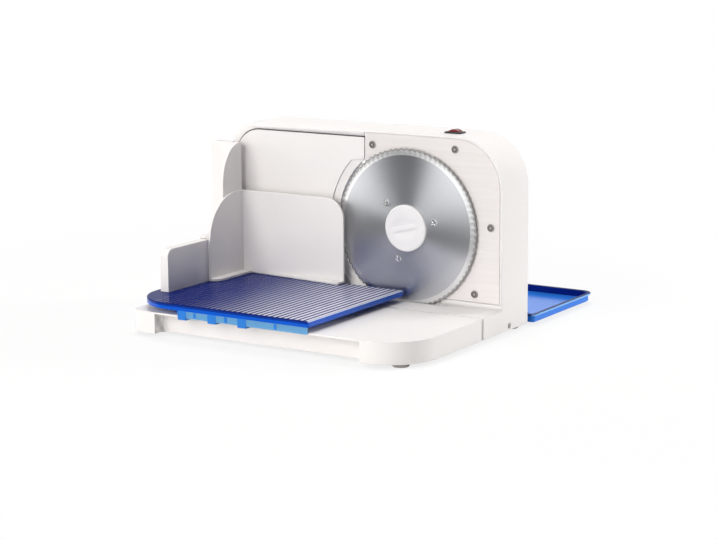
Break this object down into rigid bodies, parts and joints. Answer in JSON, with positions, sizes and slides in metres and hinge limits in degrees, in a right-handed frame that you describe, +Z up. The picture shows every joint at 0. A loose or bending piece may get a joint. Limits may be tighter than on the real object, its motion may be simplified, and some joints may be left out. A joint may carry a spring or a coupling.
{
  "type": "electric food slicer",
  "caption": "White electric food slicer with a serrated round blade, a blue sliding carriage with a food pusher, an adjustable gauge plate and a loose slice tray.",
  "frame": {"origin": "on the table, under the middle of the slicer's box with the slice tray lying behind it", "axes": "+X to the right along the carriage's slide, +Y to the rear along the blade's axis, +Z up"},
  "size_m": [0.364, 0.3958, 0.2102],
  "materials": {
    "white_plastic": "warm white, satin moulded",
    "blue_plastic": "deep translucent blue, polished",
    "black_plastic": "black, satin",
    "grey_plastic": "grey, matte",
    "red_plastic": "dark red, glossy",
    "nylon": "natural nylon",
    "rubber": "dark, matte",
    "brushed_plate": "brushed along its width",
    "blade_steel": "turned in rings round its centre",
    "zinc": "zinc plated",
    "bronze": "sintered bronze"
  },
  "bodies": {
    "housing": {"housing_shell": "white_plastic", "rear_cover": "white_plastic", "gauge_cover": "white_plastic", "base_platform": "white_plastic", "cord_gland": "black_plastic", "switch_bezel": "black_plastic", "plate_screw_1": "grey_plastic", "plate_screw_2": "grey_plastic", "plate_screw_3": "grey_plastic", "plate_screw_4": "grey_plastic", "plate_screw_5": "grey_plastic", "motor_cradle": "nylon", "gear_bracket": "nylon", "rubber_foot_1": "rubber", "rubber_foot_2": "rubber", "rubber_foot_3": "rubber", "rubber_foot_4": "rubber", "front_plate": "brushed_plate", "cover_screw_1": "zinc", "cover_screw_2": "zinc", "cover_screw_3": "zinc", "cover_screw_4": "zinc", "gauge_cover_screw_1": "zinc", "gauge_cover_screw_2": "zinc", "end_screw": "zinc", "base_screw_1": "zinc", "base_screw_2": "zinc", "motor_can": "zinc", "motor_strap": "zinc", "strap_screw": "zinc", "cradle_screw": "zinc", "bracket_screw_1": "zinc", "bracket_screw_2": "zinc", "axle_pin": "zinc", "worm_bush": "bronze"},
    "switch": {"switch_rocker": "red_plastic"},
    "blade": {"blade": "blade_steel", "blade_carrier": "nylon", "worm_wheel": "nylon", "blade_screw_1": "zinc", "blade_screw_2": "zinc", "blade_screw_3": "zinc"},
    "lock": {"lock_knob": "white_plastic"},
    "rotor": {"worm_shaft": "zinc"},
    "gauge": {"gauge_plate": "white_plastic", "gauge_rod_1": "zinc", "gauge_rod_2": "zinc", "cam_follower": "nylon"},
    "cam": {"cam_drum": "nylon", "thickness_dial": "white_plastic"},
    "carriage": {"carriage_deck": "blue_plastic", "carriage_wall": "white_plastic", "wall_screw_1": "zinc", "wall_screw_2": "zinc"},
    "pusher": {"food_pusher": "white_plastic"},
    "tray": {"slice_tray": "blue_plastic"}
  },
  "joints": [
    {"name": "blade_spin", "type": "hinge", "parent": "housing", "child": "blade", "pos_m": [0.0635, -0.01305, 0.1052], "axis": [0, 1, 0], "continuous": true},
    {"name": "blade_lock", "type": "hinge", "parent": "blade", "child": "lock", "pos_m": [0.0635, -0.01305, 0.1052], "axis": [0, 1, 0], "range_deg": [0, 90]},
    {"name": "motor_spin", "type": "hinge", "parent": "housing", "child": "rotor", "pos_m": [0.0635, 0.01295, 0.0692], "axis": [1, 0, 0], "continuous": true},
    {"name": "thickness_turn", "type": "hinge", "parent": "housing", "child": "cam", "pos_m": [-0.122, 0.04695, 0.1128], "axis": [0, 1, 0], "range_deg": [-72, 198]},
    {"name": "gauge_slide", "type": "slide", "parent": "housing", "child": "gauge", "axis": [0, 1, 0], "range_m": [-0.004, 0.011]},
    {"name": "switch_rock", "type": "hinge", "parent": "housing", "child": "switch", "pos_m": [0.108, 0.01195, 0.2057], "axis": [0, 1, 0], "range_deg": [0, 16]},
    {"name": "carriage_slide", "type": "slide", "parent": "housing", "child": "carriage", "axis": [1, 0, 0], "range_m": [0, 0.13]},
    {"name": "pusher_slide", "type": "slide", "parent": "carriage", "child": "pusher", "axis": [0, -1, 0], "range_m": [0, 0.06]},
    {"name": "tray_slide", "type": "slide", "parent": "housing", "child": "tray", "axis": [0, 1, 0], "range_m": [0, 0.12]}
  ],
  "couplings": [
    {"joint": "motor_spin", "follows": "blade_spin", "ratio": 40},
    {"joint": "thickness_turn", "follows": "gauge_slide", "rad_per_m": 314.16}
  ]
}
